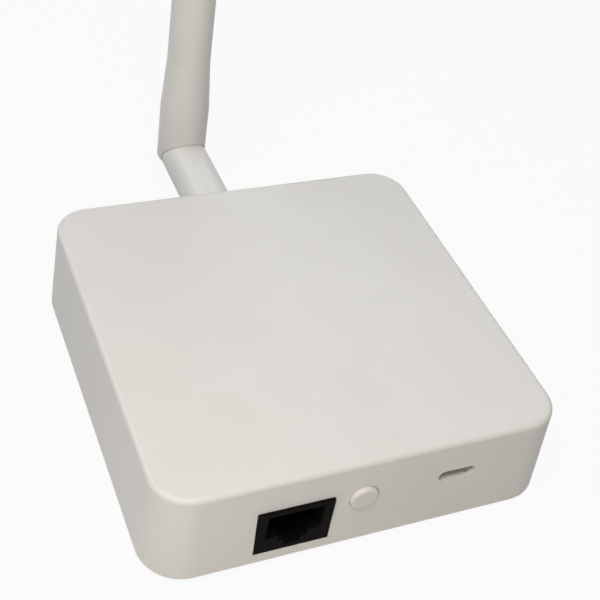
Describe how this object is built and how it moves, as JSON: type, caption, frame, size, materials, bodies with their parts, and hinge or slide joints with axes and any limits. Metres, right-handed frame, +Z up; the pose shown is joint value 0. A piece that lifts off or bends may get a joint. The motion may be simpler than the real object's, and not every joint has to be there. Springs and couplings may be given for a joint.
{
  "type": "zigbee gateway",
  "caption": "Square white wired radio gateway for a smart home: front network socket, reset button and power socket, hinged stick antenna on the back.",
  "frame": {"origin": "middle of the case on the surface that the rubber feet stand on", "axes": "+Z up, out of the plain top; -Y out of the front wall with the sockets; +X to the right seen from the front"},
  "size_m": [0.0908, 0.1248, 0.1828],
  "materials": {
    "case_white": "fine moulded texture, satin",
    "antenna_white": "smooth moulded",
    "foot_rubber": "soft, matt",
    "screw_steel": "zinc plated",
    "socket_black": "moulded, dull",
    "contact_gold": "gilt",
    "connector_brass": "gilt, turned",
    "socket_steel": "drawn",
    "tongue_grey": "moulded, pale",
    "board_green": "solder mask",
    "module_black": "black solder mask",
    "can_steel": "pressed",
    "chip_black": "moulded epoxy",
    "ferrite_grey": "ferrite",
    "ceramic_tan": "ceramic",
    "light_clear": "clear resin",
    "insulator_white": "waxy",
    "lead_black": "smooth sheath",
    "foam_white": "foam"
  },
  "bodies": {
    "case": {"top_cover": "case_white", "base_plate": "case_white", "rubber_feet": "foot_rubber", "case_screws": "screw_steel", "circuit_board": "board_green", "board_screws": "screw_steel", "ethernet_jack": "socket_black", "ethernet_contacts": "contact_gold", "usb_c_shell": "socket_steel", "usb_c_tongue": "tongue_grey", "reset_switch": "chip_black", "radio_module": "module_black", "radio_shield": "can_steel", "radio_socket": "contact_gold", "antenna_lead": "lead_black", "network_module": "module_black", "network_shield": "can_steel", "network_transformer": "chip_black", "network_chip": "chip_black", "serial_chip": "chip_black", "voltage_regulator": "chip_black", "power_inductor": "ferrite_grey", "crystals": "can_steel", "tank_capacitors": "ceramic_tan", "small_board_parts": "ceramic_tan", "status_lights": "light_clear", "antenna_connector": "connector_brass", "connector_insulator": "insulator_white", "connector_contact": "contact_gold", "connector_washer": "connector_brass", "connector_nut": "connector_brass", "antenna_nut": "connector_brass", "antenna_plug_core": "insulator_white", "antenna_plug_pin": "contact_gold"},
    "swivel": {"antenna_barrel": "antenna_white", "hinge_pin": "antenna_white"},
    "stick": {"antenna_knuckle": "antenna_white", "antenna_rod": "antenna_white", "antenna_feed": "lead_black", "antenna_radiator": "connector_brass", "antenna_spacer": "foam_white"},
    "button": {"reset_button": "case_white", "reset_plunger": "socket_black"}
  },
  "joints": [
    {"name": "antenna_swivel", "type": "hinge", "parent": "case", "child": "swivel", "pos_m": [-0.00295, 0.05266, 0.0148], "axis": [0, 1, 0], "continuous": true},
    {"name": "antenna_tilt", "type": "hinge", "parent": "swivel", "child": "stick", "pos_m": [-0.00295, 0.07324, 0.0148], "axis": [-1, 0, 0], "range_deg": [0, 90]},
    {"name": "reset_press", "type": "slide", "parent": "case", "child": "button", "axis": [0, 1, 0], "range_m": [0, 0.0005], "stiffness_N_per_m": 800, "springref_m": -0.0004}
  ]
}
